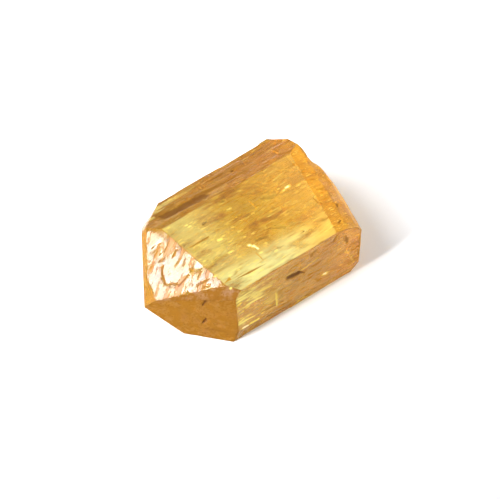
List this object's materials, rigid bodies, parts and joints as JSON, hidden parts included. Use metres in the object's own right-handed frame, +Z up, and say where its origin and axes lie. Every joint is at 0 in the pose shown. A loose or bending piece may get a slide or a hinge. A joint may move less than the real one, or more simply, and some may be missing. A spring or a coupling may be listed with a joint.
{
  "type": "topaz crystal",
  "caption": "Rough golden topaz crystal: a short flattened prism with a pointed end and a cleaved end, lying on one flat face.",
  "frame": {"origin": "centre of the bounding box on the surface that the crystal lies on", "axes": "+X along the crystal's long (c) axis, from the pointed end to the cleaved end; +Z up; the narrow bevelled face is on the +Y side"},
  "size_m": [0.0168, 0.0116, 0.005],
  "materials": {
    "topaz": "clear golden crystal, striated along its length, with brown-stained pits and a dull cleaved end"
  },
  "bodies": {
    "root": {"crystal": "topaz"}
  },
  "joints": []
}
